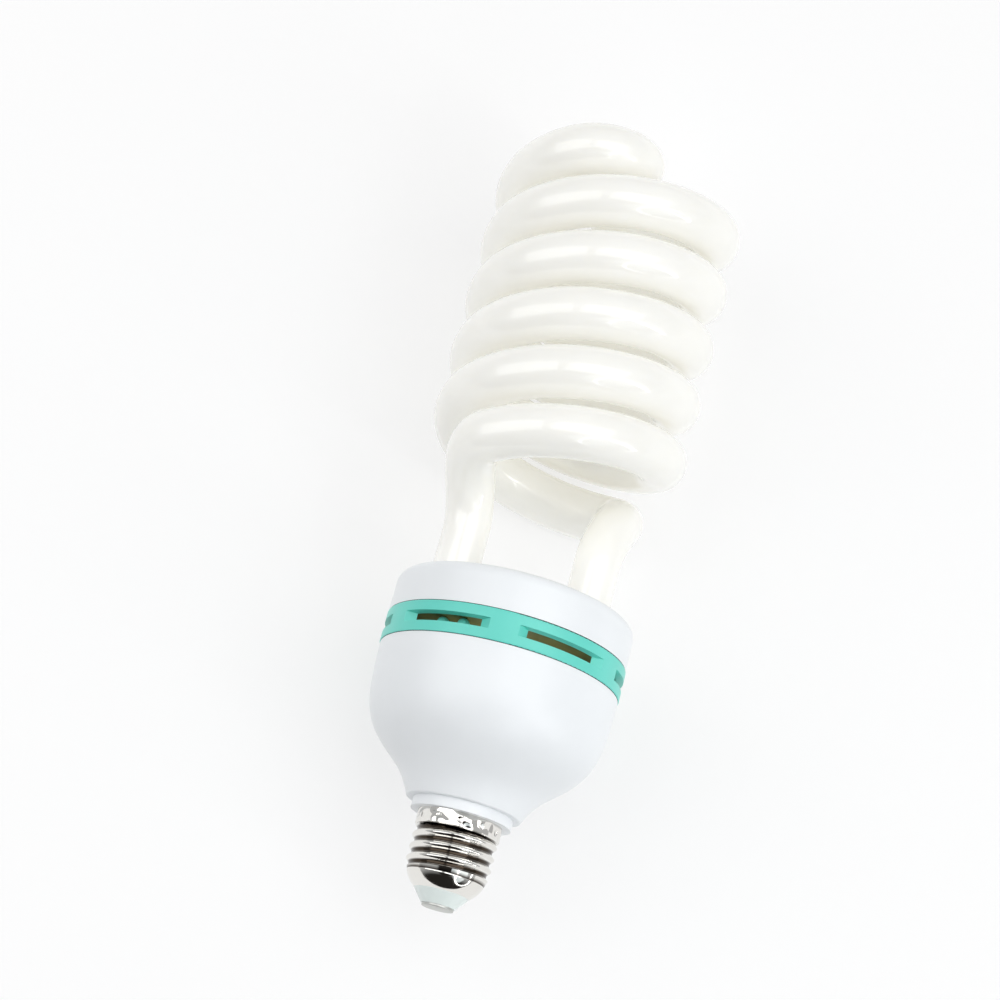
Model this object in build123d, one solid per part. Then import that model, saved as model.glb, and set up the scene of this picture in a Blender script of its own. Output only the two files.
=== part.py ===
"""Spiral photo studio bulb with its ballast in the base and an E27 screw cap.

The lamp is drawn upright, with the centre contact at height 0 and the spiral's tip at the top.
The last step lays it on its side: lamp axis along +Y, front of the lamp up.
Angles round the lamp start at its front and grow towards its right, which is +X.
"""
import os
from math import acos, atan2, cos, degrees, hypot, pi, radians, sin

from build123d import *

# Clearance between pieces that fit into each other
fit_gap = 0.15

# Screw cap
contact_d = 10.0
contact_h = 0.8
contact_edge_r = 0.3
stem_d = 2.4
insulator_low_d = 10.7
insulator_top_d = 17.2
insulator_h = 4.0
plug_h = 2.6
shell_h = 23.2
shell_wall = 0.5
shell_mouth_d = 16.2
shoulder_h = 4.4
shoulder_r = 11.0
thread_crest_d = 26.3
thread_root_d = 24.1
thread_pitch = 3.629
thread_land = 0.3
band_d = 26.5
band_h = 5.2
band_step_h = 0.9
dimple_count = 12
dimple_d = 4.0
dimple_depth = 0.3
dimple_drop = 2.4

# Lower housing, one moulding from the neck to the vent ring
# The bowl's side passes points given as shares of its growth in radius and of its height
housing_d = 76.8
housing_wall = 2.0
collar_d = 31.6
collar_h = 3.2
lip_d = 36.0
lip_edge_r = 0.5
neck_bore_d = 21.0
bowl_h = 44.1
bowl_start_slope = 0.45
bowl_end_slope = 0.04
bowl_curve = ((0.225, 0.17), (0.48, 0.28), (0.765, 0.42), (0.93, 0.60), (0.982, 0.80))

# Vent ring between the two housings
ring_proud = 0.2
ring_h = 9.9
ring_wall = 2.4
seam_r = 0.35
spigot_h = 3.0
spigot_wall = 1.5
rebate_wall = 1.5
slot_count = 6
slot_turn = -2.8
slot_angle = 37.5
slot_h = 2.6
mouth_angle = 46.5
mouth_h = 3.4
shelf_count = 2
shelf_turn = -34.0
shelf_angle = 34.0
shelf_depth = 7.0
shelf_h = 1.6
peg_d = 4.0
peg_angle = 14.0
peg_inset = 5.3
shelf_rise = 1.0
slot_overcut = 1.0

# Top cover, with a sleeve for each leg of the tube
cover_h = 13.8
cover_wall = 2.0
cover_plate = 2.2
cover_edge_r = 3.5
sleeve_wall = 1.5
sleeve_h = 8.0

# Glass tube: two legs, two helices and the bridge that joins them at the tip
tube_d = 17.0
leg_d = 15.0
spiral_r = 33.6
spiral_lead = 40.8
leg_spacing = 43.2
leg_seat_h = 3.8
leg_free_h = 19.0
leg_bend_reach = 3.0
leg_bend_back = 7.0
leg_bend_rise = 15.5
leg_end_r = 1.2
join_angle = 50.0
helix_rise = 37.5
helix_angle = 905.0
bridge_r = 14.0
cement_gap = 0.8

# Ballast board and the parts that hang from it
board_t = 1.6
board_edge_gap = 0.25
board_lift = 0.5
board_hole_d = 5.0
bulk_cap_d = 16.0
bulk_cap_h = 38.0
bulk_cap_edge = 1.0
core_w = 20.0
core_d = 6.0
core_h = 18.0
core_leg = 3.5
core_centre_leg = 5.0
core_window_h = 12.0
choke_gap = 1.5
bobbin_wall = 0.8
bobbin_gap = 0.15
bobbin_flange = 13.4
winding_inset = 0.6
toroid_d = 10.0
toroid_bore = 5.0
toroid_h = 4.5
toroid_edge = 0.8
toroid_turn = 40.0
drum_d = 8.0
drum_h = 10.0
drum_waist_d = 5.6
drum_flange = 1.5
drum_turn = -40.0
inner_row_gap = 10.0
transistor_w = 10.0
transistor_t = 4.4
transistor_h = 15.0
transistor_inset = 4.5
transistor_turn = 115.0
tab_t = 1.3
tab_h = 6.5
tab_hole_d = 3.6
film_cap_w = 13.0
film_cap_t = 5.0
film_cap_h = 11.0
film_cap_edge_r = 0.8
film_cap_inset = 8.0
film_cap_turn = 84.0
diode_count = 4
diode_d = 2.7
diode_l = 5.2
diode_inset = 5.5
diode_turn = -135.5
diode_step = -18.0
resistor_d = 2.4
resistor_l = 6.5
resistor_turns = (-76.0, 76.0, 110.0)
fuse_d = 4.0
fuse_l = 10.0
lead_d = 0.7
lead_stand = 1.0
axial_edge = 0.3
pin_w = 1.0
pin_h = 3.0
pin_y = 6.0
filament_d = 0.6
filament_y = 2.4
wire_d = 1.2
wire_gap = 0.6
wire_bend_r = 3.0

# Heights along the lamp and diameters that follow from the sizes above
shell_z = contact_h + insulator_h
collar_z = shell_z + shell_h
lip_z = collar_z + collar_h
ring_z = lip_z + bowl_h
cover_z = ring_z + ring_h
top_z = cover_z + cover_h
slot_z = ring_z + ring_h / 2
shelf_z = ring_z + shelf_rise
board_z = slot_z + mouth_h / 2 + board_lift
board_top = board_z + board_t
leg_z = board_top + leg_seat_h
bend_z = top_z + leg_free_h
helix_z = top_z + helix_rise
helix_slope = spiral_lead / (2 * pi * spiral_r)
ring_d = housing_d + 2 * ring_proud
rebate_d = housing_d - 2 * rebate_wall
rebate_h = spigot_h + fit_gap
spigot_d = rebate_d - 2 * fit_gap
spigot_bore = spigot_d - 2 * spigot_wall
board_d = spigot_bore - 2 * board_edge_gap
sleeve_bore = leg_d + 2 * cement_gap
band_z = collar_z - band_h
inner_row_r = bulk_cap_d / 2 + inner_row_gap
choke_y = bulk_cap_d / 2 + choke_gap + bobbin_flange / 2


def around(radius, angle, z=0.0):
    """The point at a radius and an angle from the lamp's front."""
    return Vector(radius * sin(radians(angle)), -radius * cos(radians(angle)), z)


def turned(points):
    """A solid of revolution from an outline of (radius, height) points."""
    outline = Polyline(*[(r, 0, z) for r, z in points], close=True)
    return revolve(make_face(outline), Axis.Z)


def disc(diameter, z, height):
    """A cylinder on the lamp axis that starts at a height."""
    return Pos(0, 0, z) * Cylinder(diameter / 2, height, align=(Align.CENTER, Align.CENTER, Align.MIN))


def tube(diameter, bore, z, height):
    """A straight tube on the lamp axis."""
    return disc(diameter, z, height) - disc(bore, z, height)


def spoke(radius, angle):
    """The place at a radius and an angle from the lamp's front, turned to face outwards."""
    return Rot(0, 0, angle) * Pos(0, -radius, 0)


def hung(width, depth, height):
    """A box that hangs from the underside of the board."""
    box = Box(width, depth, height, align=(Align.CENTER, Align.CENTER, Align.MAX))
    return Pos(0, 0, board_z) * box


# Screw cap
def make_centre_contact():
    face = disc(contact_d, 0, contact_h)
    face = fillet(face.edges().group_by(Axis.Z)[0], contact_edge_r)
    return face + disc(stem_d, contact_h, insulator_h + plug_h)


def make_cap_insulator():
    low_r = insulator_low_d / 2
    top_r = insulator_top_d / 2
    plug_r = shell_mouth_d / 2 - fit_gap
    bore_r = stem_d / 2 + fit_gap
    return turned(
        [
            (bore_r, contact_h),
            (low_r, contact_h),
            (top_r, shell_z),
            (plug_r, shell_z),
            (plug_r, shell_z + plug_h),
            (bore_r, shell_z + plug_h),
        ]
    )


def make_thread_rib():
    """One knuckle-shaped rib along a helix, run out at its lower end and sunk in the band at its top."""
    root_r = thread_root_d / 2
    crest_r = thread_crest_d / 2
    sink = shell_wall / 2
    low_z = shell_z + shoulder_h - thread_pitch / 2
    high_z = band_z + band_step_h
    path = Pos(0, 0, low_z) * Helix(thread_pitch, high_z - low_z + thread_pitch, root_r)
    half = (thread_pitch - thread_land) / 2
    start = path @ 0
    section_plane = Plane(origin=start, x_dir=(start.X, start.Y, 0), z_dir=path % 0)
    middle = (crest_r - root_r) / 2
    hump = Spline(
        (0, -half),
        (middle, -half / 2),
        (crest_r - root_r, 0),
        (middle, half / 2),
        (0, half),
        tangents=[(0, 1), (0, 1)],
    )
    back = Polyline((0, half), (-sink, half), (-sink, -half), (0, -half))
    rib = sweep(section_plane * make_face([hump, back]), path=path, is_frenet=True)
    run_out_z = shell_z + shoulder_h
    limit = turned(
        [
            (0, run_out_z),
            (root_r - sink / 2, run_out_z),
            (band_d / 2, run_out_z + thread_pitch),
            (band_d / 2, high_z),
            (0, high_z),
        ]
    )
    return rib & limit


def make_cap_shell():
    root_r = thread_root_d / 2
    band_r = band_d / 2
    bore_r = root_r - shell_wall
    band_bore_r = band_r - shell_wall
    mouth_r = shell_mouth_d / 2
    shoulder_z = shell_z + shoulder_h
    edge_r = mouth_r + shell_wall
    outer_shoulder = RadiusArc((edge_r, shell_z), (root_r, shoulder_z), -shoulder_r)
    inner_shoulder = RadiusArc((mouth_r, shell_z), (bore_r, shoulder_z), -shoulder_r)
    step_z = band_z + band_step_h
    bore_step_z = step_z + shell_wall
    outside = Polyline((root_r, shoulder_z), (root_r, band_z), (band_r, step_z), (band_r, collar_z))
    rim = Line((band_r, collar_z), (band_bore_r, collar_z))
    inside = Polyline(
        (band_bore_r, collar_z),
        (band_bore_r, bore_step_z + band_step_h),
        (bore_r, bore_step_z),
        (bore_r, shoulder_z),
    )
    mouth = Line((mouth_r, shell_z), (edge_r, shell_z))
    outline = make_face([outer_shoulder, outside, rim, inside, inner_shoulder, mouth])
    shell = revolve(Plane.XZ * outline, Axis.Z) + make_thread_rib()
    punch = Sphere(dimple_d / 2)
    punch_r = band_r + dimple_d / 2 - dimple_depth
    for i in range(dimple_count):
        shell -= Pos(around(punch_r, 360 * i / dimple_count, collar_z - dimple_drop)) * punch
    return shell


# Housings and vent ring
def bowl_outline():
    """The S-shaped side of the bowl, as a curve in (radius, height)."""
    low = Vector(lip_d / 2, lip_z)
    span = Vector((housing_d - lip_d) / 2, bowl_h)
    points = [low + Vector(a * span.X, b * span.Y) for a, b in bowl_curve]
    ends = [(bowl_start_slope, 1), (bowl_end_slope, 1)]
    return Spline(low, *points, low + span, tangents=ends)


def inset_curve(curve, depth, steps=8):
    """A curve that runs at a constant depth inside another one."""
    points = []
    for i in range(steps + 1):
        slope = curve % (i / steps)
        points.append(curve @ (i / steps) + Vector(-slope.Y, slope.X) * depth)
    return Spline(*points)


def solid_below(curve):
    """The solid of revolution between a curve in (radius, height) and the lamp axis."""
    low = curve @ 0
    high = curve @ 1
    close = Polyline(high, (0, high.Y), (0, low.Y), low)
    return revolve(Plane.XZ * make_face([curve, close]), Axis.Z)


def make_lower_housing():
    side = bowl_outline()
    bowl = solid_below(side)
    lip = bowl.edges().group_by(Axis.Z)[0]
    bowl = fillet(lip, lip_edge_r)
    rim = bowl.edges().filter_by(GeomType.CIRCLE).sort_by(Axis.Z)[-1]
    bowl = fillet(rim, seam_r)
    floor_z = lip_z + housing_wall
    cavity = solid_below(inset_curve(side, housing_wall)) & disc(housing_d, floor_z, bowl_h)
    cavity += disc(rebate_d, ring_z - rebate_h, rebate_h)
    spigot_bottom = band_z + 2 * band_step_h + shell_wall + fit_gap
    spigot = disc(band_d - 2 * shell_wall - 2 * fit_gap, spigot_bottom, collar_z - spigot_bottom)
    body = bowl - cavity + disc(collar_d, collar_z, collar_h) + spigot
    return body - disc(neck_bore_d, spigot_bottom, floor_z - spigot_bottom)


def slot_cutter():
    """The funnel-shaped air slot at the lamp's front, wider at its mouth than at its throat."""
    throat_r = ring_d / 2 - ring_wall
    mouth_r = ring_d / 2
    inner_r = throat_r - slot_overcut
    outer_r = mouth_r + slot_overcut
    steep = (mouth_h - slot_h) / 2 / ring_wall
    outer_half_h = mouth_h / 2 + steep * slot_overcut
    funnel = turned(
        [
            (inner_r, slot_z - slot_h / 2),
            (throat_r, slot_z - slot_h / 2),
            (outer_r, slot_z - outer_half_h),
            (outer_r, slot_z + outer_half_h),
            (throat_r, slot_z + slot_h / 2),
            (inner_r, slot_z + slot_h / 2),
        ]
    )
    corners = []
    for side in (-1, 1):
        throat = around(throat_r, side * slot_angle / 2)
        mouth = around(mouth_r, side * mouth_angle / 2)
        wall = mouth - throat
        corners.append([throat - wall, mouth + wall])
    left, right = corners
    wedge_plan = Polyline(left[0], left[1], (0, -2 * mouth_r), right[1], right[0], close=True)
    wedge = extrude(make_face(wedge_plan), ring_z + ring_h)
    return funnel & wedge


def make_peg_shelf():
    """A shelf inside the ring with two round-topped pegs that carry the board."""
    inner_r = ring_d / 2 - ring_wall
    shelf = tube(2 * inner_r + ring_wall, 2 * (inner_r - shelf_depth), shelf_z, shelf_h)
    corners = [around(2 * inner_r, side * shelf_angle / 2) for side in (-1, 1)]
    wedge = extrude(make_face(Polyline((0, 0, 0), *corners, close=True)), ring_z + ring_h)
    shelf &= wedge
    peg_r = inner_r - peg_inset
    dome_z = board_z - peg_d / 2
    for side in (-1, 1):
        spot = Pos(around(peg_r, side * peg_angle / 2))
        shelf += spot * disc(peg_d, shelf_z, dome_z - shelf_z)
        shelf += spot * Pos(0, 0, dome_z) * Sphere(peg_d / 2)
    return shelf


def make_vent_ring():
    inner_d = ring_d - 2 * ring_wall
    band = disc(ring_d, ring_z, ring_h)
    band = fillet(band.edges().filter_by(GeomType.CIRCLE), seam_r)
    ring = band + disc(spigot_d, ring_z - spigot_h, ring_h + 2 * spigot_h)
    ring -= disc(spigot_bore, ring_z - spigot_h, ring_h + 2 * spigot_h)
    ring -= disc(inner_d, ring_z + spigot_wall, ring_h - 2 * spigot_wall)
    cutter = slot_cutter()
    for i in range(slot_count):
        ring -= Rot(0, 0, slot_turn + 360 * (i + 0.5) / slot_count) * cutter
    shelf = make_peg_shelf()
    for i in range(shelf_count):
        ring += Rot(0, 0, shelf_turn + 360 * i / shelf_count) * shelf
    return ring


def leg_places():
    """The two places where the tube's legs stand."""
    return [Pos(side * leg_spacing / 2, 0, 0) for side in (-1, 1)]


def make_top_cover():
    shell = disc(housing_d, cover_z, cover_h)
    shell = fillet(shell.edges().group_by(Axis.Z)[-1], cover_edge_r)
    shell = fillet(shell.edges().filter_by(GeomType.CIRCLE).sort_by(Axis.Z)[0], seam_r)
    hollow = disc(housing_d - 2 * cover_wall, cover_z, cover_h - cover_plate)
    hollow = fillet(hollow.edges().group_by(Axis.Z)[-1], cover_edge_r - cover_wall)
    shell -= hollow + disc(rebate_d, cover_z, rebate_h)
    plate_z = top_z - cover_plate
    for place in leg_places():
        shell += place * disc(sleeve_bore + 2 * sleeve_wall, plate_z - sleeve_h, sleeve_h)
        shell -= place * disc(sleeve_bore, plate_z - sleeve_h, sleeve_h + cover_plate)
    return shell


def make_tube_cement():
    sleeve_z = top_z - cover_plate - sleeve_h
    ring = tube(sleeve_bore, leg_d, sleeve_z, sleeve_h + cover_plate)
    return Compound(children=[place * ring for place in leg_places()])


# Glass tube
def make_half_skin():
    """The faces of the right leg, its helix and half of the bridge, up to the lamp axis."""
    leg_x = leg_spacing / 2
    leg = Pos(leg_x, 0, 0) * disc(leg_d, leg_z, bend_z - leg_z)
    leg = fillet(leg.edges().group_by(Axis.Z)[0], leg_end_r)

    start_angle = 90 + join_angle
    start_z = helix_z + spiral_lead * join_angle / 360
    turns = helix_angle / 360
    helix = Helix(spiral_lead, spiral_lead * turns, spiral_r)
    helix = Pos(0, 0, start_z) * Rot(0, 0, start_angle - 90) * helix

    bend = Spline(
        (leg_x, 0, bend_z),
        (leg_x + leg_bend_reach, leg_bend_back, bend_z + leg_bend_rise),
        helix @ 0,
        tangents=[(0, 0, 1), helix % 0],
    )

    end = helix @ 1
    end_angle = degrees(atan2(end.Y, end.X))
    offset = spiral_r - bridge_r
    centre = Vector(end.X, end.Y) * (offset / spiral_r)
    sweep_angle = 180 - degrees(acos(bridge_r / offset))
    curl_rise = helix_slope * bridge_r * radians(sweep_angle)
    curl = Helix(helix_slope * 2 * pi * bridge_r, curl_rise, bridge_r)
    curl = Pos(centre.X, centre.Y, end.Z) * Rot(0, 0, end_angle) * curl

    last = curl @ 1
    run = hypot(last.X, last.Y)
    tip_z = last.Z + helix_slope * run / 2
    over = Bezier(last, (last.X / 2, last.Y / 2, tip_z), (0, 0, tip_z))

    section = Circle(tube_d / 2)
    foot = Plane(bend @ 0, z_dir=bend % 0) * Circle(leg_d / 2)
    head = Plane(bend @ 1, z_dir=bend % 1) * section
    pieces = [sweep([foot, head], path=bend, multisection=True)]
    for path in (helix, curl, over):
        pieces.append(sweep(Plane(path @ 0, z_dir=path % 0) * section, path=path, is_frenet=True))
    skin = leg.faces().sort_by(Axis.Z)[:-1]
    for piece in pieces:
        skin += [face for face in piece.faces() if face.geom_type != GeomType.PLANE]
    return skin


def make_spiral_tube():
    """Both halves sewn into one closed skin, so that each joint is smooth."""
    half = make_half_skin()
    other_half = [Rot(0, 0, 180) * face for face in half]
    return Solid(Shell(half + other_half))


# Ballast
def make_ballast_board():
    return disc(board_d, board_z, board_t) - disc(board_hole_d, board_z, board_t)


def make_bulk_capacitor():
    can = disc(bulk_cap_d, board_z - bulk_cap_h, bulk_cap_h)
    return chamfer(can.edges().filter_by(GeomType.CIRCLE), bulk_cap_edge)


def make_choke_core():
    window_w = (core_w - core_centre_leg) / 2 - core_leg
    core = hung(core_w, core_d, core_h)
    window = Box(window_w, core_d, core_window_h)
    for side in (-1, 1):
        x = side * (core_centre_leg + window_w) / 2
        core -= Pos(x, 0, board_z - core_h / 2) * window
    return Pos(0, choke_y, 0) * core


def make_choke_bobbin():
    inner = (core_centre_leg + 2 * bobbin_gap, core_d + 2 * bobbin_gap)
    outer = (inner[0] + 2 * bobbin_wall, inner[1] + 2 * bobbin_wall)
    flange_w = core_w - 2 * core_leg - 2 * bobbin_gap
    height = core_window_h - 2 * bobbin_gap
    bobbin = Box(*outer, height)
    for side in (-1, 1):
        flange_z = side * (height - bobbin_wall) / 2
        bobbin += Pos(0, 0, flange_z) * Box(flange_w, bobbin_flange, bobbin_wall)
    bobbin -= Box(*inner, height)
    return Pos(0, choke_y, board_z - core_h / 2) * bobbin


def make_choke_winding():
    inner_w = core_centre_leg + 2 * bobbin_gap + 2 * bobbin_wall
    inner_d = core_d + 2 * bobbin_gap + 2 * bobbin_wall
    outer_w = core_w - 2 * core_leg - 2 * winding_inset
    outer_d = bobbin_flange - 2 * winding_inset
    height = core_window_h - 2 * bobbin_gap - 2 * bobbin_wall
    coil = Box(outer_w, outer_d, height)
    coil = fillet(coil.edges().filter_by(Axis.Z), winding_inset)
    return Pos(0, choke_y, board_z - core_h / 2) * (coil - Box(inner_w, inner_d, height))


def make_drive_toroid():
    ring = tube(toroid_d, toroid_bore, board_z - toroid_h, toroid_h)
    ring = chamfer(ring.edges().filter_by(GeomType.CIRCLE), toroid_edge)
    return spoke(inner_row_r, toroid_turn) * ring


def make_power_transistors():
    tab = Box(transistor_w, tab_t, tab_h, align=(Align.CENTER, Align.MAX, Align.MAX))
    tab -= Pos(0, 0, -tab_h / 2) * Rot(90, 0, 0) * Cylinder(tab_hole_d / 2, 2 * tab_t)
    body = hung(transistor_w, transistor_t, transistor_h)
    body += Pos(0, transistor_t / 2, board_z - transistor_h) * tab
    radius = board_d / 2 - transistor_inset
    return Compound(children=[spoke(radius, side * transistor_turn) * body for side in (-1, 1)])


def make_film_capacitors():
    box = hung(film_cap_w, film_cap_t, film_cap_h)
    box = fillet(box.edges().group_by(Axis.Z)[0], film_cap_edge_r)
    radius = board_d / 2 - film_cap_inset
    return Compound(children=[spoke(radius, side * film_cap_turn) * box for side in (-1, 1)])


def axial_part(diameter, length):
    """A cylinder with a bent lead at each end, hung under the board."""
    body_z = board_z - lead_stand - diameter / 2
    reach = length / 2 + lead_stand
    body = Rot(0, 90, 0) * Cylinder(diameter / 2, length)
    body = chamfer(body.edges().filter_by(GeomType.CIRCLE), axial_edge)
    for side in (-1, 1):
        rise = board_z - body_z
        route = FilletPolyline((0, 0, 0), (side * reach, 0, 0), (side * reach, 0, rise), radius=lead_d)
        body += sweep(Plane(route @ 0, z_dir=route % 0) * Circle(lead_d / 2), path=route)
    return Pos(0, 0, body_z) * body


def make_rectifier_diodes():
    diode = axial_part(diode_d, diode_l)
    radius = board_d / 2 - diode_inset
    turns = [diode_turn + i * diode_step for i in range(diode_count)]
    return Compound(children=[spoke(radius, turn) * diode for turn in turns])


def make_resistors():
    resistor = axial_part(resistor_d, resistor_l)
    return Compound(children=[spoke(inner_row_r, turn) * resistor for turn in resistor_turns])


def make_fuse_resistor():
    return spoke(inner_row_r, 0) * axial_part(fuse_d, fuse_l)


def make_filter_inductor():
    drum = disc(drum_d, board_z - drum_h, drum_h)
    waist_h = drum_h - 2 * drum_flange
    drum -= tube(drum_d, drum_waist_d, board_z - drum_h + drum_flange, waist_h)
    return spoke(inner_row_r, drum_turn) * drum


def pin_places():
    """The four pins on top of the board, two under each leg, as (x, side)."""
    return [(x, side) for x in (-leg_spacing / 2, leg_spacing / 2) for side in (-1, 1)]


def make_wrap_pins():
    pin = Box(pin_w, pin_w, pin_h, align=(Align.CENTER, Align.CENTER, Align.MIN))
    return Compound(children=[Pos(x, side * pin_y, board_top) * pin for x, side in pin_places()])


def make_filament_leads():
    group = []
    for x, side in pin_places():
        low_z = board_top + pin_h / 2
        route = FilletPolyline(
            (x, side * filament_y, leg_z),
            (x, side * filament_y, low_z),
            (x, side * (pin_y - pin_w / 2), low_z),
            radius=filament_d,
        )
        group.append(sweep(Plane(route @ 0, z_dir=route % 0) * Circle(filament_d / 2), path=route))
    return Compound(children=group)


def make_supply_wires():
    """One wire to the centre contact and one to the side of the screw shell."""
    neck_z = lip_z + housing_wall
    below_cap_z = board_z - bulk_cap_h - wire_bend_r
    stem_top = shell_z + plug_h
    shell_r = thread_root_d / 2 - shell_wall
    side_x = bulk_cap_d / 2 + wire_gap + wire_d / 2
    lane_x = neck_bore_d / 2 - wire_gap - wire_d / 2
    solder_z = band_z - wire_bend_r
    to_contact = FilletPolyline(
        (-side_x, 0, board_z),
        (-side_x, 0, below_cap_z),
        (0, 0, neck_z),
        (0, 0, stem_top),
        radius=wire_bend_r,
    )
    to_shell = FilletPolyline(
        (side_x, 0, board_z),
        (side_x, 0, neck_z),
        (lane_x, 0, neck_z - wire_bend_r),
        (lane_x, 0, solder_z),
        (shell_r - fit_gap, 0, solder_z),
        radius=wire_d,
    )
    group = []
    for route in (to_contact, to_shell):
        group.append(sweep(Plane(route @ 0, z_dir=route % 0) * Circle(wire_d / 2), path=route))
    return Compound(children=group)


parts = {
    "spiral_tube": make_spiral_tube,
    "tube_cement": make_tube_cement,
    "top_cover": make_top_cover,
    "vent_ring": make_vent_ring,
    "lower_housing": make_lower_housing,
    "cap_shell": make_cap_shell,
    "cap_insulator": make_cap_insulator,
    "centre_contact": make_centre_contact,
    "ballast_board": make_ballast_board,
    "bulk_capacitor": make_bulk_capacitor,
    "choke_core": make_choke_core,
    "choke_bobbin": make_choke_bobbin,
    "choke_winding": make_choke_winding,
    "drive_toroid": make_drive_toroid,
    "power_transistors": make_power_transistors,
    "film_capacitors": make_film_capacitors,
    "rectifier_diodes": make_rectifier_diodes,
    "resistors": make_resistors,
    "fuse_resistor": make_fuse_resistor,
    "filter_inductor": make_filter_inductor,
    "wrap_pins": make_wrap_pins,
    "filament_leads": make_filament_leads,
    "supply_wires": make_supply_wires,
}

lying = Rot(-90, 0, 0)
os.makedirs("parts", exist_ok=True)
for name, make in parts.items():
    export_step(lying * make(), f"parts/{name}.step")
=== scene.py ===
"""Looks of the spiral photo studio bulb: finishes, smooth glass spiral, floor, lights and camera."""
from math import acos, atan2, cos, hypot, pi, radians, sin

import bmesh
import bpy
from mathutils import Matrix, Vector


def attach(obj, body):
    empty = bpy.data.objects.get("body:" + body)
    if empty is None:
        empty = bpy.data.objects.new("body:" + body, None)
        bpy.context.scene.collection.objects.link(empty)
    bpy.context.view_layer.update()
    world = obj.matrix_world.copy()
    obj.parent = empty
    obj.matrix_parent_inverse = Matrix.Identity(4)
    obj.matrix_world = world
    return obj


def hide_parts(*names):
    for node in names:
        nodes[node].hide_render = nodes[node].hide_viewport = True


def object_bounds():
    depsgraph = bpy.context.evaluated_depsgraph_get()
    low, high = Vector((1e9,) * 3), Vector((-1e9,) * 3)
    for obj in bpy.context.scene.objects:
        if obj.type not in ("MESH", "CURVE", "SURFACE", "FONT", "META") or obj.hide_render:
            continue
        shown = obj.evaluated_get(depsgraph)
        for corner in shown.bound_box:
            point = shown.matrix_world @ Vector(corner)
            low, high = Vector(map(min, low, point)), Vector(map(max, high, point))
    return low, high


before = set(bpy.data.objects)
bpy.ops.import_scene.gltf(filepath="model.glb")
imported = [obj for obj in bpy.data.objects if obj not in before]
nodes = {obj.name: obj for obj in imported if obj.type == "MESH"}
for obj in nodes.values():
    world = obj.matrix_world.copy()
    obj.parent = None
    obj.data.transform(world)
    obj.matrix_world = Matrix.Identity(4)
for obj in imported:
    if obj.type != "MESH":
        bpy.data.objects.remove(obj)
cad_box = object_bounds()
scene = bpy.context.scene
scene.view_settings.view_transform = "Standard"

MM = 0.001

# Glass tube, the same driving sizes as the solid, in metres
TUBE_R = 8.5 * MM
LEG_R = 7.5 * MM
SPIRAL_R = 33.6 * MM
SPIRAL_LEAD = 40.8 * MM
RISE = SPIRAL_LEAD / (2 * pi)
LEG_X = 21.6 * MM
LEG_LOW = 87.85 * MM
LEG_BEND = 118.0 * MM
BEND_POINT = Vector((24.6, 7.0, 133.5)) * MM
HELIX_START = radians(140)
HELIX_TURN = radians(905)
HELIX_Z = 136.5 * MM
BRIDGE_R = 14.0 * MM

# Mesh of the glass tube
RING_SIDES = 48
STEP = 1.6 * MM
SHARP_ANGLE = radians(32)

# Painted shadow rings in the seams at the edges of the vent ring
RING_LOW = 75.3 * MM
RING_TOP = 85.2 * MM
SEAM_R = 38.37 * MM
SEAM_DEPTH = 0.6 * MM
SEAM_H = 0.34 * MM
SEAM_SIDES = 160

# Parts of the screw cap that its finish tells apart
THREAD_ROOT_R = 12.05 * MM
THREAD_CREST_R = 13.15 * MM
THREAD_LOW = 9.6 * MM
SHOULDER_TOP = 9.0 * MM
BAND_LOW = 22.4 * MM
BAND_HIGH = 23.4 * MM

# Nickel plate, with painted shade in the roots of the thread
NICKEL_ROOT_SHADE = (0.05, 0.038, 0.028)
NICKEL_UNSHADED = (0.80, 0.785, 0.75)
ROOT_SHADE_SPAN = (0.04, 0.36)
NICKEL_SMOOTH = (0.05, 0.05, 0.05)
NICKEL_WORN = (0.12, 0.12, 0.12)
NICKEL_PATCHES = 250
WRINKLES = 170
WRINKLE_DEPTH = 2.8 * MM
WRINKLE_STRENGTH = 0.8
WRINKLE_SHARE_BELOW_BAND = 0.04

# Coated glass
GLASS_LOW = (0.765, 0.762, 0.745)
GLASS_HIGH = (0.785, 0.782, 0.768)
GLASS_PATCHES = 60
GLASS_WAVES = 45
GLASS_WAVE_DEPTH = 0.2 * MM
GLASS_WAVE_STRENGTH = 0.15

# Plain finishes: colour patches are this many times as coarse as the grain
PATCHES_TO_GRAIN = 8
FINE_GRAIN = 0.02 * MM
MIDDLE_GRAIN = 0.05 * MM
COARSE_GRAIN = 0.1 * MM


# Shader nodes
def new_material(name):
    """A node material with its shader and node tree at hand."""
    material = bpy.data.materials.new(name)
    material.use_nodes = True
    tree = material.node_tree
    return material, tree, tree.nodes["Principled BSDF"]


def noise(tree, scale, detail=4.0):
    """A noise texture in object space, in cycles per metre."""
    place = tree.nodes.new("ShaderNodeTexCoord")
    texture = tree.nodes.new("ShaderNodeTexNoise")
    texture.inputs["Scale"].default_value = scale
    texture.inputs["Detail"].default_value = detail
    tree.links.new(place.outputs["Object"], texture.inputs["Vector"])
    return texture.outputs["Fac"]


def ramp(tree, source, low, high, start=0.35, end=0.65):
    """A colour ramp from one colour to another."""
    node = tree.nodes.new("ShaderNodeValToRGB")
    node.color_ramp.elements[0].position = start
    node.color_ramp.elements[1].position = end
    node.color_ramp.elements[0].color = (*low, 1)
    node.color_ramp.elements[1].color = (*high, 1)
    tree.links.new(source, node.inputs["Fac"])
    return node.outputs["Color"]


def map_range(tree, source, low, high, to_low=0.0):
    """A value spread from 0, or another start, at one end to 1 at the other."""
    node = tree.nodes.new("ShaderNodeMapRange")
    node.inputs["From Min"].default_value = low
    node.inputs["From Max"].default_value = high
    node.inputs["To Min"].default_value = to_low
    tree.links.new(source, node.inputs["Value"])
    return node.outputs["Result"]


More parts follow.
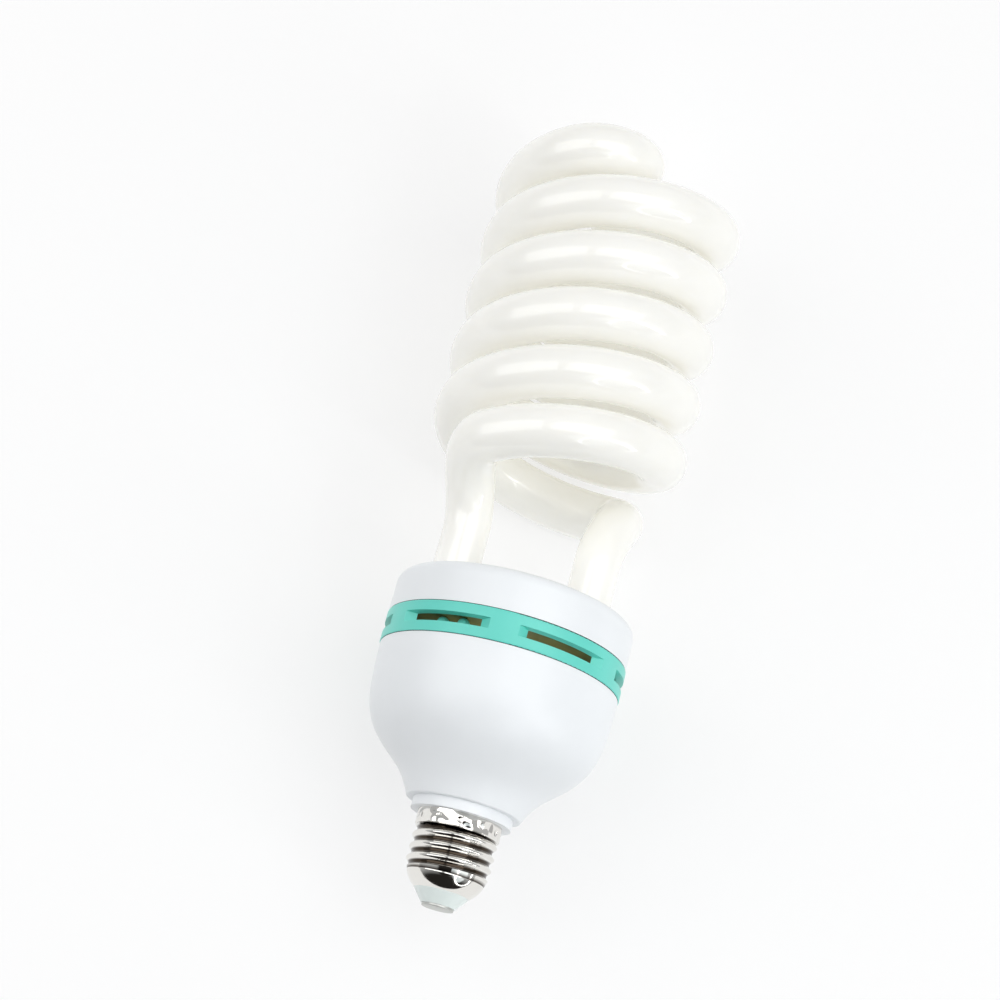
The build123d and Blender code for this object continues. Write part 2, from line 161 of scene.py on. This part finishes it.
def combine(tree, operation, first, second):
    """Two values made into one, such as their product or the larger of them."""
    node = tree.nodes.new("ShaderNodeMath")
    node.operation = operation
    tree.links.new(first, node.inputs[0])
    tree.links.new(second, node.inputs[1])
    return node.outputs["Value"]


def length(tree, source):
    """The length of a vector."""
    node = tree.nodes.new("ShaderNodeVectorMath")
    node.operation = "LENGTH"
    tree.links.new(source, node.inputs[0])
    return node.outputs["Value"]


def bump(tree, shader, source, distance, strength=1.0):
    """A bump from a texture's height."""
    node = tree.nodes.new("ShaderNodeBump")
    node.inputs["Distance"].default_value = distance
    node.inputs["Strength"].default_value = strength
    tree.links.new(source, node.inputs["Height"])
    tree.links.new(node.outputs["Normal"], shader.inputs["Normal"])


# Finishes
def plain_finish(name, low, high, roughness, metallic=0.0, scale=400.0, grain=FINE_GRAIN, coat=0.0):
    """A finish with slight colour variation and a fine grain."""
    material, tree, shader = new_material(name)
    colour = ramp(tree, noise(tree, scale / PATCHES_TO_GRAIN), low, high)
    tree.links.new(colour, shader.inputs["Base Color"])
    shader.inputs["Roughness"].default_value = roughness
    shader.inputs["Metallic"].default_value = metallic
    shader.inputs["Coat Weight"].default_value = coat
    shader.inputs["Coat Roughness"].default_value = 0.05
    bump(tree, shader, noise(tree, scale), grain)
    return material


def coated_glass():
    """Glass with white powder inside: it shines on top, and a painted warm glow stands in for the light that
    it scatters.
    """
    material, tree, shader = new_material("coated_glass")
    colour = ramp(tree, noise(tree, GLASS_PATCHES), GLASS_LOW, GLASS_HIGH)
    tree.links.new(colour, shader.inputs["Base Color"])
    shader.inputs["Roughness"].default_value = 0.45
    shader.inputs["Subsurface Weight"].default_value = 0.3
    shader.inputs["Subsurface Radius"].default_value = (1.0, 0.95, 0.8)
    shader.inputs["Subsurface Scale"].default_value = 0.004
    shader.inputs["Coat Weight"].default_value = 1.0
    shader.inputs["Coat Roughness"].default_value = 0.01
    shader.inputs["Coat IOR"].default_value = 1.6
    # Painted light: a faint warm glow lifts the shade on the tube, in place of light scattered through it
    shader.inputs["Emission Color"].default_value = (1.0, 0.97, 0.83, 1)
    shader.inputs["Emission Strength"].default_value = 0.20
    waves = noise(tree, GLASS_WAVES, detail=1.0)
    bump(tree, shader, waves, GLASS_WAVE_DEPTH, GLASS_WAVE_STRENGTH)
    return material


def nickel():
    """Bright nickel plate with painted shade in the roots of the thread, and wrinkled in the staked band."""
    material, tree, shader = new_material("nickel")
    place = tree.nodes.new("ShaderNodeTexCoord")
    split = tree.nodes.new("ShaderNodeSeparateXYZ")
    tree.links.new(place.outputs["Object"], split.inputs["Vector"])
    across = tree.nodes.new("ShaderNodeVectorMath")
    across.operation = "MULTIPLY"
    across.inputs[1].default_value = (1, 0, 1)
    tree.links.new(place.outputs["Object"], across.inputs[0])
    from_axis = length(tree, across.outputs["Vector"])

    # Painted shade: the plate is coloured near black in the roots of the thread, and plain nickel on the
    # crests and the shoulder
    above_root = map_range(tree, from_axis, THREAD_ROOT_R, THREAD_CREST_R)
    below_thread = map_range(tree, split.outputs["Y"], THREAD_LOW, SHOULDER_TOP)
    unshaded = combine(tree, "MAXIMUM", above_root, below_thread)
    colour = ramp(tree, unshaded, NICKEL_ROOT_SHADE, NICKEL_UNSHADED, *ROOT_SHADE_SPAN)
    tree.links.new(colour, shader.inputs["Base Color"])
    shader.inputs["Metallic"].default_value = 1.0
    worn = ramp(tree, noise(tree, NICKEL_PATCHES), NICKEL_SMOOTH, NICKEL_WORN)
    tree.links.new(worn, shader.inputs["Roughness"])

    staked = map_range(tree, split.outputs["Y"], BAND_LOW, BAND_HIGH, WRINKLE_SHARE_BELOW_BAND)
    wrinkles = combine(tree, "MULTIPLY", noise(tree, WRINKLES, detail=1.0), staked)
    bump(tree, shader, wrinkles, WRINKLE_DEPTH, WRINKLE_STRENGTH)
    return material


white = plain_finish("white_plastic", (0.865, 0.89, 0.91), (0.885, 0.91, 0.93), 0.32)
teal = plain_finish("teal_plastic", (0.135, 0.68, 0.58), (0.15, 0.71, 0.61), 0.35)
mint = plain_finish("mint_insulator", (0.83, 0.91, 0.885), (0.85, 0.92, 0.895), 0.25, coat=0.3)
contact = plain_finish(
    "tinned_contact", (0.52, 0.53, 0.51), (0.62, 0.63, 0.60), 0.42, metallic=1.0, grain=COARSE_GRAIN)
board = plain_finish("board", (0.15, 0.14, 0.035), (0.22, 0.20, 0.06), 0.6, scale=900.0)
# Painted shadow: a near-black teal for the rings in the seams, where the grooves are shaded
seam_shadow = plain_finish("painted_seam_shadow", (0.02, 0.05, 0.045), (0.03, 0.065, 0.06), 0.8)
cement = plain_finish(
    "cement", (0.66, 0.65, 0.60), (0.74, 0.73, 0.69), 0.8, scale=1200.0, grain=COARSE_GRAIN)
sleeve = plain_finish("dark_sleeve", (0.008, 0.010, 0.016), (0.014, 0.016, 0.024), 0.3)
ferrite = plain_finish(
    "ferrite", (0.012, 0.012, 0.013), (0.03, 0.03, 0.032), 0.7, scale=1500.0, grain=MIDDLE_GRAIN)
bobbin = plain_finish("bobbin_plastic", (0.50, 0.46, 0.34), (0.55, 0.51, 0.39), 0.4)
copper = plain_finish(
    "copper_wire", (0.32, 0.08, 0.02), (0.45, 0.13, 0.03), 0.3,
    metallic=1.0, scale=3000.0, grain=COARSE_GRAIN)
resin = plain_finish("black_resin", (0.006, 0.006, 0.006), (0.012, 0.012, 0.012), 0.45)
film = plain_finish("film_case", (0.16, 0.02, 0.008), (0.20, 0.03, 0.012), 0.25, coat=0.5)
lacquer = plain_finish("resistor_coat", (0.42, 0.28, 0.11), (0.48, 0.33, 0.14), 0.5)
jacket = plain_finish("wire_jacket", (0.66, 0.65, 0.60), (0.72, 0.71, 0.66), 0.45)

finishes = {
    "spiral_tube": coated_glass(),
    "tube_cement": cement,
    "top_cover": white,
    "vent_ring": teal,
    "lower_housing": white,
    "cap_shell": nickel(),
    "cap_insulator": mint,
    "centre_contact": contact,
    "ballast_board": board,
    "bulk_capacitor": sleeve,
    "choke_core": ferrite,
    "choke_bobbin": bobbin,
    "choke_winding": copper,
    "drive_toroid": ferrite,
    "power_transistors": resin,
    "film_capacitors": film,
    "rectifier_diodes": resin,
    "resistors": lacquer,
    "fuse_resistor": lacquer,
    "filter_inductor": ferrite,
    "wrap_pins": contact,
    "filament_leads": contact,
    "supply_wires": jacket,
}
for name, material in finishes.items():
    mesh = nodes[name].data
    mesh.materials.clear()
    mesh.materials.append(material)


# Pieces that the scene adds
def lamp_point(x, y, z):
    """A point given with the lamp upright, in the frame where the lamp lies along +Y."""
    return Vector((x, z, -y))


def add_piece(name, mesh, finish):
    """Turns a bmesh into an object of the lamp, with the given finish, parented to the root body."""
    data = bpy.data.meshes.new(name)
    mesh.to_mesh(data)
    mesh.free()
    data.materials.append(finish)
    piece = bpy.data.objects.new(name, data)
    scene.collection.objects.link(piece)
    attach(piece, "root")
    return piece


# Glass spiral: each route is a list of points and tube radii, with the lamp upright
def on_helix(angle):
    """A point on the helix of the right leg."""
    return Vector((SPIRAL_R * sin(angle), -SPIRAL_R * cos(angle), HELIX_Z + RISE * (angle - pi / 2)))


def cubic(a, b, slope_a, slope_b, t):
    """A point on the cubic between two points with given slopes."""
    h = t * t * (3 - 2 * t)
    return a * (1 - h) + b * h + slope_a * (t * (1 - t) ** 2) - slope_b * (t * t * (1 - t))


def leg_route():
    """Straight up the right leg."""
    height = LEG_BEND - LEG_LOW
    count = round(height / STEP)
    return [(Vector((LEG_X, 0, LEG_LOW + height * i / count)), LEG_R) for i in range(count)]


def bend_route():
    """From the leg through one middle point out into the helix, growing from leg to tube."""
    points = [Vector((LEG_X, 0, LEG_BEND)), BEND_POINT, on_helix(HELIX_START)]
    spans = [(points[1] - points[0]).length, (points[2] - points[1]).length]
    first_slope = Vector((0, 0, 1))
    last_slope = Vector((SPIRAL_R * cos(HELIX_START), SPIRAL_R * sin(HELIX_START), RISE)).normalized()
    # The slope at the middle point lets the two cubics meet with the same curvature
    pull = 3 * ((points[1] - points[0]) / spans[0] ** 2 + (points[2] - points[1]) / spans[1] ** 2)
    pull -= first_slope / spans[0] + last_slope / spans[1]
    slopes = [first_slope, pull / (2 * (1 / spans[0] + 1 / spans[1])), last_slope]
    route = []
    for k in range(2):
        count = round(spans[k] / STEP)
        for i in range(count):
            t = i / count
            point = cubic(points[k], points[k + 1], slopes[k] * spans[k], slopes[k + 1] * spans[k], t)
            share = (k * spans[0] + t * spans[k]) / sum(spans)
            route.append((point, LEG_R + (TUBE_R - LEG_R) * share))
    return route


def helix_route():
    """Round the helix."""
    count = round(HELIX_TURN * SPIRAL_R / STEP)
    return [(on_helix(HELIX_START + HELIX_TURN * i / count), TUBE_R) for i in range(count)]


def bridge_route():
    """From the end of the helix in an arc and a straight run to the tip on the lamp's axis."""
    end = on_helix(HELIX_START + HELIX_TURN)
    slope = RISE / SPIRAL_R
    offset = SPIRAL_R - BRIDGE_R
    centre = Vector((end.x, end.y, 0)) * (offset / SPIRAL_R)
    start = atan2(end.y, end.x)
    curl = pi - acos(BRIDGE_R / offset)

    def on_arc(turn):
        height = end.z + slope * BRIDGE_R * turn
        return centre + Vector((BRIDGE_R * cos(start + turn), BRIDGE_R * sin(start + turn), height))

    count = round(curl * BRIDGE_R / STEP)
    route = [(on_arc(curl * i / count), TUBE_R) for i in range(count)]
    last = on_arc(curl)
    run = hypot(last.x, last.y)
    count = round(run / STEP)
    for i in range(count + 1):
        t = i / count
        height = last.z + slope * run * (t - t * t / 2)
        route.append((Vector((last.x * (1 - t), last.y * (1 - t), height)), TUBE_R))
    return route


def make_spiral():
    """One clean tube of quads along the whole route, leg to leg."""
    half = leg_route() + bend_route() + helix_route() + bridge_route()
    # The other half is the same one, turned half round the lamp's axis
    back = [(Vector((-p.x, -p.y, p.z)), r) for p, r in reversed(half[:-1])]
    route = half + back
    points = [lamp_point(*p) for p, r in route]
    radii = [r for p, r in route]
    across = Vector((1, 0, 0))
    mesh = bmesh.new()
    rings = []
    for i, point in enumerate(points):
        ahead = points[min(i + 1, len(points) - 1)]
        behind = points[max(i - 1, 0)]
        along = (ahead - behind).normalized()
        across = (across - along * across.dot(along)).normalized()
        side = along.cross(across)
        ring = []
        for k in range(RING_SIDES):
            angle = 2 * pi * k / RING_SIDES
            ring.append(mesh.verts.new(point + (across * cos(angle) + side * sin(angle)) * radii[i]))
        rings.append(ring)
    for low, high in zip(rings, rings[1:]):
        for k in range(RING_SIDES):
            n = (k + 1) % RING_SIDES
            mesh.faces.new((low[k], low[n], high[n], high[k]))
    mesh.faces.new(list(reversed(rings[0])))
    mesh.faces.new(rings[-1])
    piece = add_piece("glass_spiral", mesh, finishes["spiral_tube"])
    piece.data.shade_smooth()
    piece.data.set_sharp_from_angle(angle=SHARP_ANGLE)
    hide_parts("spiral_tube")


# Painted shadow: dark rings in the seams along both edges of the teal band
def make_seam_shadow(name, height):
    """A thin dark ring that lies in the groove between two mouldings, as painted shadow."""
    mesh = bmesh.new()
    inner_r = SEAM_R - SEAM_DEPTH
    low = height - SEAM_H / 2
    high = height + SEAM_H / 2
    corners = []
    for radius, level in ((SEAM_R, low), (SEAM_R, high), (inner_r, high), (inner_r, low)):
        ring = []
        for k in range(SEAM_SIDES):
            angle = 2 * pi * k / SEAM_SIDES
            ring.append(mesh.verts.new(lamp_point(radius * cos(angle), radius * sin(angle), level)))
        corners.append(ring)
    for here, there in zip(corners, corners[1:] + corners[:1]):
        for k in range(SEAM_SIDES):
            n = (k + 1) % SEAM_SIDES
            mesh.faces.new((here[k], here[n], there[n], there[k]))
    bmesh.ops.recalc_face_normals(mesh, faces=mesh.faces)
    add_piece(name, mesh, seam_shadow)


# Floor: its glow grows from a share near the lamp to plain white far from it
FLOOR_GLOW = 0.58
FLOOR_NEAR = 0.12
FLOOR_FAR = 0.55
FLOOR_SIZE = 40.0
FLOOR_MIDDLE_Y = 0.13


def make_floor():
    """A pale floor that reads as white, in reflections too, and keeps the lamp's soft shadow."""
    under = cad_box[0][2]
    bpy.ops.mesh.primitive_plane_add(size=FLOOR_SIZE, location=(0, FLOOR_MIDDLE_Y, under))
    floor = bpy.context.object
    floor.name = "floor"
    material, tree, shader = new_material("floor_white")
    shader.inputs["Base Color"].default_value = (0.97, 0.97, 0.97, 1)
    shader.inputs["Roughness"].default_value = 0.9
    shader.inputs["Specular IOR Level"].default_value = 0.0
    seen = tree.nodes.new("ShaderNodeLightPath")
    direct = combine(tree, "MAXIMUM", seen.outputs["Is Camera Ray"], seen.outputs["Is Glossy Ray"])
    looked_at = combine(tree, "MAXIMUM", direct, seen.outputs["Is Transmission Ray"])
    place = tree.nodes.new("ShaderNodeTexCoord")
    away = length(tree, place.outputs["Object"])
    share = combine(tree, "MULTIPLY", looked_at, map_range(tree, away, FLOOR_NEAR, FLOOR_FAR, FLOOR_GLOW))
    glow = tree.nodes.new("ShaderNodeEmission")
    mix = tree.nodes.new("ShaderNodeMixShader")
    tree.links.new(share, mix.inputs["Fac"])
    tree.links.new(shader.outputs["BSDF"], mix.inputs[1])
    tree.links.new(glow.outputs["Emission"], mix.inputs[2])
    tree.links.new(mix.outputs["Shader"], tree.nodes["Material Output"].inputs["Surface"])
    floor.data.materials.append(material)


# Lamps, in metres and watts
LAMP_AIM = Vector((0, 0.18, 0))
PANE_LEFT = {"place": (-0.68, 0.07, 0.83), "size": (0.80, 1.05), "power": 3.9}
PANE_RIGHT = {"place": (0.37, 0.18, 1.03), "size": (0.72, 1.05), "power": 4.1}
FRONT = {"place": (0.70, -0.55, 0.80), "size": (0.8, 0.8), "power": 1.6, "colour": (0.88, 0.96, 1.0)}
STRIP_RIGHT = {"place": (0.90, -0.20, 0.55), "size": (0.06, 0.9), "power": 1.2}
INSIDE_PLACE = (0, 0.066, 0.018)
INSIDE_RADIUS = 0.004
INSIDE_POWER = 0.007


def area_light(name, place, size, power, colour=(1, 1, 1)):
    """A rectangular lamp that points at the bulb."""
    data = bpy.data.lights.new(name, "AREA")
    data.shape = "RECTANGLE"
    data.size, data.size_y = size
    data.energy = power
    data.color = colour
    lamp = bpy.data.objects.new(name, data)
    lamp.location = place
    lamp.rotation_euler = (LAMP_AIM - Vector(place)).to_track_quat("-Z", "Y").to_euler()
    scene.collection.objects.link(lamp)


def make_lights():
    """Two soft panes overhead, a soft front lamp, a thin strip on the right and a glow behind the slots."""
    area_light("pane_left", **PANE_LEFT)
    area_light("pane_right", **PANE_RIGHT)
    area_light("front", **FRONT)
    area_light("strip_right", **STRIP_RIGHT)
    glow = bpy.data.lights.new("inside", "POINT")
    glow.energy = INSIDE_POWER
    glow.shadow_soft_size = INSIDE_RADIUS
    inside = bpy.data.objects.new("inside", glow)
    inside.location = INSIDE_PLACE
    scene.collection.objects.link(inside)


# Room that lights the bulb and shows in it: directions to things in it, and their edges as cosines
ROOM_BRIGHT = (0.50, 0.505, 0.51)
ROOM_DARK = (0.02, 0.018, 0.016)
DARK_END = (-0.72, -0.45)
FIGURE_AT = Vector((-0.05, -0.45, 0.89))
FIGURE_EDGE = (cos(radians(20)), cos(radians(27)))
HOOP_AT = Vector((0.71, -0.56, 0.43))
HOOP_INSIDE = cos(radians(20))
HOOP_OUTSIDE = cos(radians(22.5))
HOOP_BRIGHT = 4.2


def make_world():
    """A soft white studio with a hoop lamp, dark beyond the cap's end and where the photographer stands."""
    world = bpy.data.worlds.new("studio")
    scene.world = world
    world.use_nodes = True
    tree = world.node_tree
    background = tree.nodes["Background"]
    place = tree.nodes.new("ShaderNodeTexCoord")
    split = tree.nodes.new("ShaderNodeSeparateXYZ")
    tree.links.new(place.outputs["Generated"], split.inputs["Vector"])

    def toward(aim):
        """How nearly a direction points at a place in the room, as a cosine."""
        node = tree.nodes.new("ShaderNodeVectorMath")
        node.operation = "DOT_PRODUCT"
        node.inputs[1].default_value = aim.normalized()
        tree.links.new(place.outputs["Generated"], node.inputs[0])
        return node.outputs["Value"]

    before_end = map_range(tree, split.outputs["Y"], *DARK_END)
    beside_figure = map_range(tree, toward(FIGURE_AT), *FIGURE_EDGE)
    lit = combine(tree, "MINIMUM", before_end, beside_figure)
    room = ramp(tree, lit, ROOM_DARK, ROOM_BRIGHT, 0.0, 1.0)
    tree.links.new(room, background.inputs["Color"])
    background.inputs["Strength"].default_value = 1.0

    on_hoop = tree.nodes.new("ShaderNodeMath")
    on_hoop.operation = "COMPARE"
    on_hoop.inputs[1].default_value = (HOOP_INSIDE + HOOP_OUTSIDE) / 2
    on_hoop.inputs[2].default_value = (HOOP_INSIDE - HOOP_OUTSIDE) / 2
    tree.links.new(toward(HOOP_AT), on_hoop.inputs[0])
    power = tree.nodes.new("ShaderNodeMath")
    power.operation = "MULTIPLY"
    power.inputs[1].default_value = HOOP_BRIGHT
    tree.links.new(on_hoop.outputs["Value"], power.inputs[0])
    hoop = tree.nodes.new("ShaderNodeBackground")
    hoop.inputs["Color"].default_value = (1, 1, 1, 1)
    tree.links.new(power.outputs["Value"], hoop.inputs["Strength"])
    both = tree.nodes.new("ShaderNodeAddShader")
    tree.links.new(background.outputs["Background"], both.inputs[0])
    tree.links.new(hoop.outputs["Background"], both.inputs[1])
    tree.links.new(both.outputs["Shader"], tree.nodes["World Output"].inputs["Surface"])


# Camera, at the photograph's viewing angle
CAMERA_PLACE = Vector((0.0, -0.0904, 0.655))
CAMERA_AIM = Vector((-0.0137, 0.1312, 0.0))
CAMERA_ROLL = radians(15.05)
CAMERA_LENS = 77.4
CAMERA_SENSOR = 36.0
LAMP_AXIS = Vector((0, 1, 0))


def make_camera():
    """A camera that looks down on the lamp, rolled so that the lamp leans as in the photograph."""
    data = bpy.data.cameras.new("camera")
    data.sensor_width = CAMERA_SENSOR
    data.lens = CAMERA_LENS
    camera = bpy.data.objects.new("camera", data)
    forward = (CAMERA_AIM - CAMERA_PLACE).normalized()
    right = forward.cross(LAMP_AXIS).normalized()
    up = right.cross(forward)
    level = Matrix((right, up, -forward)).transposed()
    camera.rotation_euler = (level @ Matrix.Rotation(CAMERA_ROLL, 3, "Z")).to_euler()
    camera.location = CAMERA_PLACE
    scene.collection.objects.link(camera)
    scene.camera = camera


make_spiral()
make_seam_shadow("seam_shadow_low", RING_LOW)
make_seam_shadow("seam_shadow_top", RING_TOP)
make_floor()
make_lights()
make_world()
make_camera()
